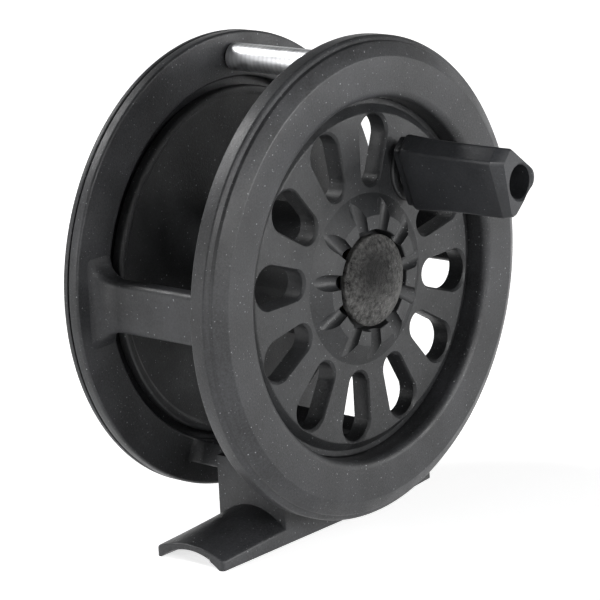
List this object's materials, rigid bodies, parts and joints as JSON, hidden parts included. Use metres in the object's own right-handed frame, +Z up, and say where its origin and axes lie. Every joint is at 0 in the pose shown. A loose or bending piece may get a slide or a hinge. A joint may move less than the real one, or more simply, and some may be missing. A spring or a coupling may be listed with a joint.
{
  "type": "fly reel",
  "caption": "Fly fishing reel: caged frame on a saddle foot, ventilated spool on a fixed spindle, turning handle, push-button spool release and click check.",
  "frame": {"origin": "on the plane the foot stands on, under the middle of the whole reel", "axes": "+Z up from the foot to the top of the cage, +Y along the spool axis towards the back cover with the handle at -Y, +X across the reel along the foot"},
  "size_m": [0.08, 0.0568, 0.083],
  "materials": {
    "black_plastic": "satin black moulded plastic",
    "button_plastic": "grainy matt black plastic",
    "grip_plastic": "smooth black plastic with a soft sheen",
    "white_acetal": "natural white bearing plastic",
    "turned_steel": "bright turned stainless steel",
    "spring_steel": "plain spring steel",
    "bronze": "plain bearing bronze"
  },
  "bodies": {
    "cage": {"frame": "black_plastic", "back_cover": "black_plastic", "cover_screw_left": "turned_steel", "cover_screw_right": "turned_steel", "cover_screw_bottom_left": "turned_steel", "cover_screw_bottom_right": "turned_steel", "post_screw": "turned_steel", "line_guard_post": "turned_steel", "spindle": "turned_steel", "spindle_screw": "turned_steel", "pawl_pin": "turned_steel", "pawl_spring": "spring_steel"},
    "spool": {"spool_body": "black_plastic", "spool_rear_flange": "black_plastic", "flange_screw_1": "turned_steel", "flange_screw_2": "turned_steel", "flange_screw_3": "turned_steel", "click_gear": "white_acetal", "bush_front": "bronze", "bush_rear": "bronze", "button_spring": "spring_steel", "latch_spring": "spring_steel", "handle_pin": "turned_steel", "handle_washer": "turned_steel"},
    "button": {"release_button": "button_plastic"},
    "latch": {"spool_latch": "spring_steel"},
    "handle": {"handle_knob": "grip_plastic"},
    "pawl": {"click_pawl": "white_acetal"}
  },
  "joints": [
    {"name": "spool_spin", "type": "hinge", "parent": "cage", "child": "spool", "pos_m": [0, 0, 0.043], "axis": [0, 1, 0], "continuous": true},
    {"name": "handle_spin", "type": "hinge", "parent": "spool", "child": "handle", "pos_m": [0.01295, -0.02, 0.05902], "axis": [0, 1, 0], "continuous": true},
    {"name": "button_press", "type": "slide", "parent": "spool", "child": "button", "axis": [0, 1, 0], "range_m": [0, 0.0009], "stiffness_N_per_m": 800, "springref_m": -0.0006},
    {"name": "latch_slide", "type": "slide", "parent": "spool", "child": "latch", "axis": [-1, 0, 0], "range_m": [0, 0.0009], "stiffness_N_per_m": 400, "springref_m": -0.0005},
    {"name": "pawl_rock", "type": "hinge", "parent": "cage", "child": "pawl", "pos_m": [0, 0.0242, 0.0616], "axis": [0, 1, 0], "range_deg": [-12, 12], "stiffness_Nm_per_rad": 0.001}
  ],
  "couplings": [
    {"joint": "latch_slide", "follows": "button_press", "ratio": 1}
  ]
}
